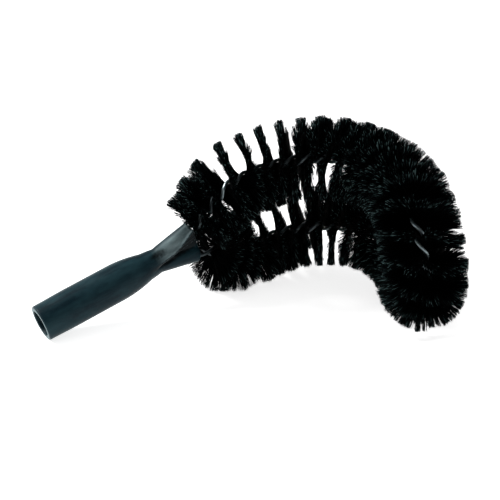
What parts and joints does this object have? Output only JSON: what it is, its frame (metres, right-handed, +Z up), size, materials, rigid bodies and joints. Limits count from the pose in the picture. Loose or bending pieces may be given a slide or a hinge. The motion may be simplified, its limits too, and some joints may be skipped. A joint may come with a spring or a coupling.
{
  "type": "pipe brush",
  "caption": "Cleaning brush for the outside of overhead pipes: twisted-in-wire bristles bent into a C, on a hollow handle that takes a pole",
  "frame": {"origin": "Centre of the bounding box's base, on the surface that the brush lies on at rest", "axes": "+X along the brush from the handle's mouth towards the C, whose open side faces -Y; +Z up, square to the surface. The handle climbs about 16 degrees from its mouth towards +X."},
  "size_m": [0.3846, 0.2594, 0.1754],
  "materials": {
    "moulded_handle": "moulded, slightly satin, dark slate blue",
    "galvanised_wire": "galvanised, dull grey",
    "black_bristle": "black synthetic filament with a slight sheen"
  },
  "bodies": {
    "root": {"bristle_tuft_01": "black_bristle", "bristle_tuft_02": "black_bristle", "bristle_tuft_03": "black_bristle", "bristle_tuft_04": "black_bristle", "bristle_tuft_05": "black_bristle", "bristle_tuft_06": "black_bristle", "bristle_tuft_07": "black_bristle", "bristle_tuft_08": "black_bristle", "bristle_tuft_09": "black_bristle", "bristle_tuft_10": "black_bristle", "bristle_tuft_11": "black_bristle", "bristle_tuft_12": "black_bristle", "bristle_tuft_13": "black_bristle", "bristle_tuft_14": "black_bristle", "bristle_tuft_15": "black_bristle", "bristle_tuft_16": "black_bristle", "bristle_tuft_17": "black_bristle", "bristle_tuft_18": "black_bristle", "bristle_tuft_19": "black_bristle", "bristle_tuft_20": "black_bristle", "bristle_tuft_21": "black_bristle", "bristle_tuft_22": "black_bristle", "bristle_tuft_23": "black_bristle", "bristle_tuft_24": "black_bristle", "bristle_tuft_25": "black_bristle", "bristle_tuft_26": "black_bristle", "bristle_tuft_27": "black_bristle", "bristle_tuft_28": "black_bristle", "bristle_tuft_29": "black_bristle", "bristle_tuft_30": "black_bristle", "bristle_tuft_31": "black_bristle", "bristle_tuft_32": "black_bristle", "bristle_tuft_33": "black_bristle", "bristle_tuft_34": "black_bristle", "bristle_tuft_35": "black_bristle", "bristle_tuft_36": "black_bristle", "bristle_tuft_37": "black_bristle", "bristle_tuft_38": "black_bristle", "handle_socket": "moulded_handle", "twisted_wire_a": "galvanised_wire", "twisted_wire_b": "galvanised_wire"}
  },
  "joints": []
}
